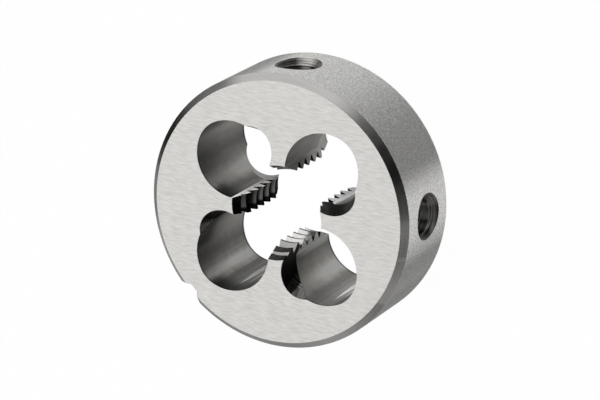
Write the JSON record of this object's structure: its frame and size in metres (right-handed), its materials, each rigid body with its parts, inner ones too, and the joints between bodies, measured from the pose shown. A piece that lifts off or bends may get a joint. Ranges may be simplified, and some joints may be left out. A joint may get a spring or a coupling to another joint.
{
  "type": "round threading die",
  "caption": "Round steel die for cutting a right-hand external thread, with toothed lands between open clearance holes and a screw groove in its rim.",
  "frame": {"origin": "centre of the back face, on the die's axis", "axes": "+Z out of the front face along the axis, +Y towards the groove in the rim, +X through a clearance hole"},
  "size_m": [0.03, 0.0299, 0.011],
  "materials": {
    "tool_steel": "finely ground faces, satin turned rim, darker bores and teeth"
  },
  "bodies": {
    "root": {"die_body": "tool_steel"}
  },
  "joints": []
}
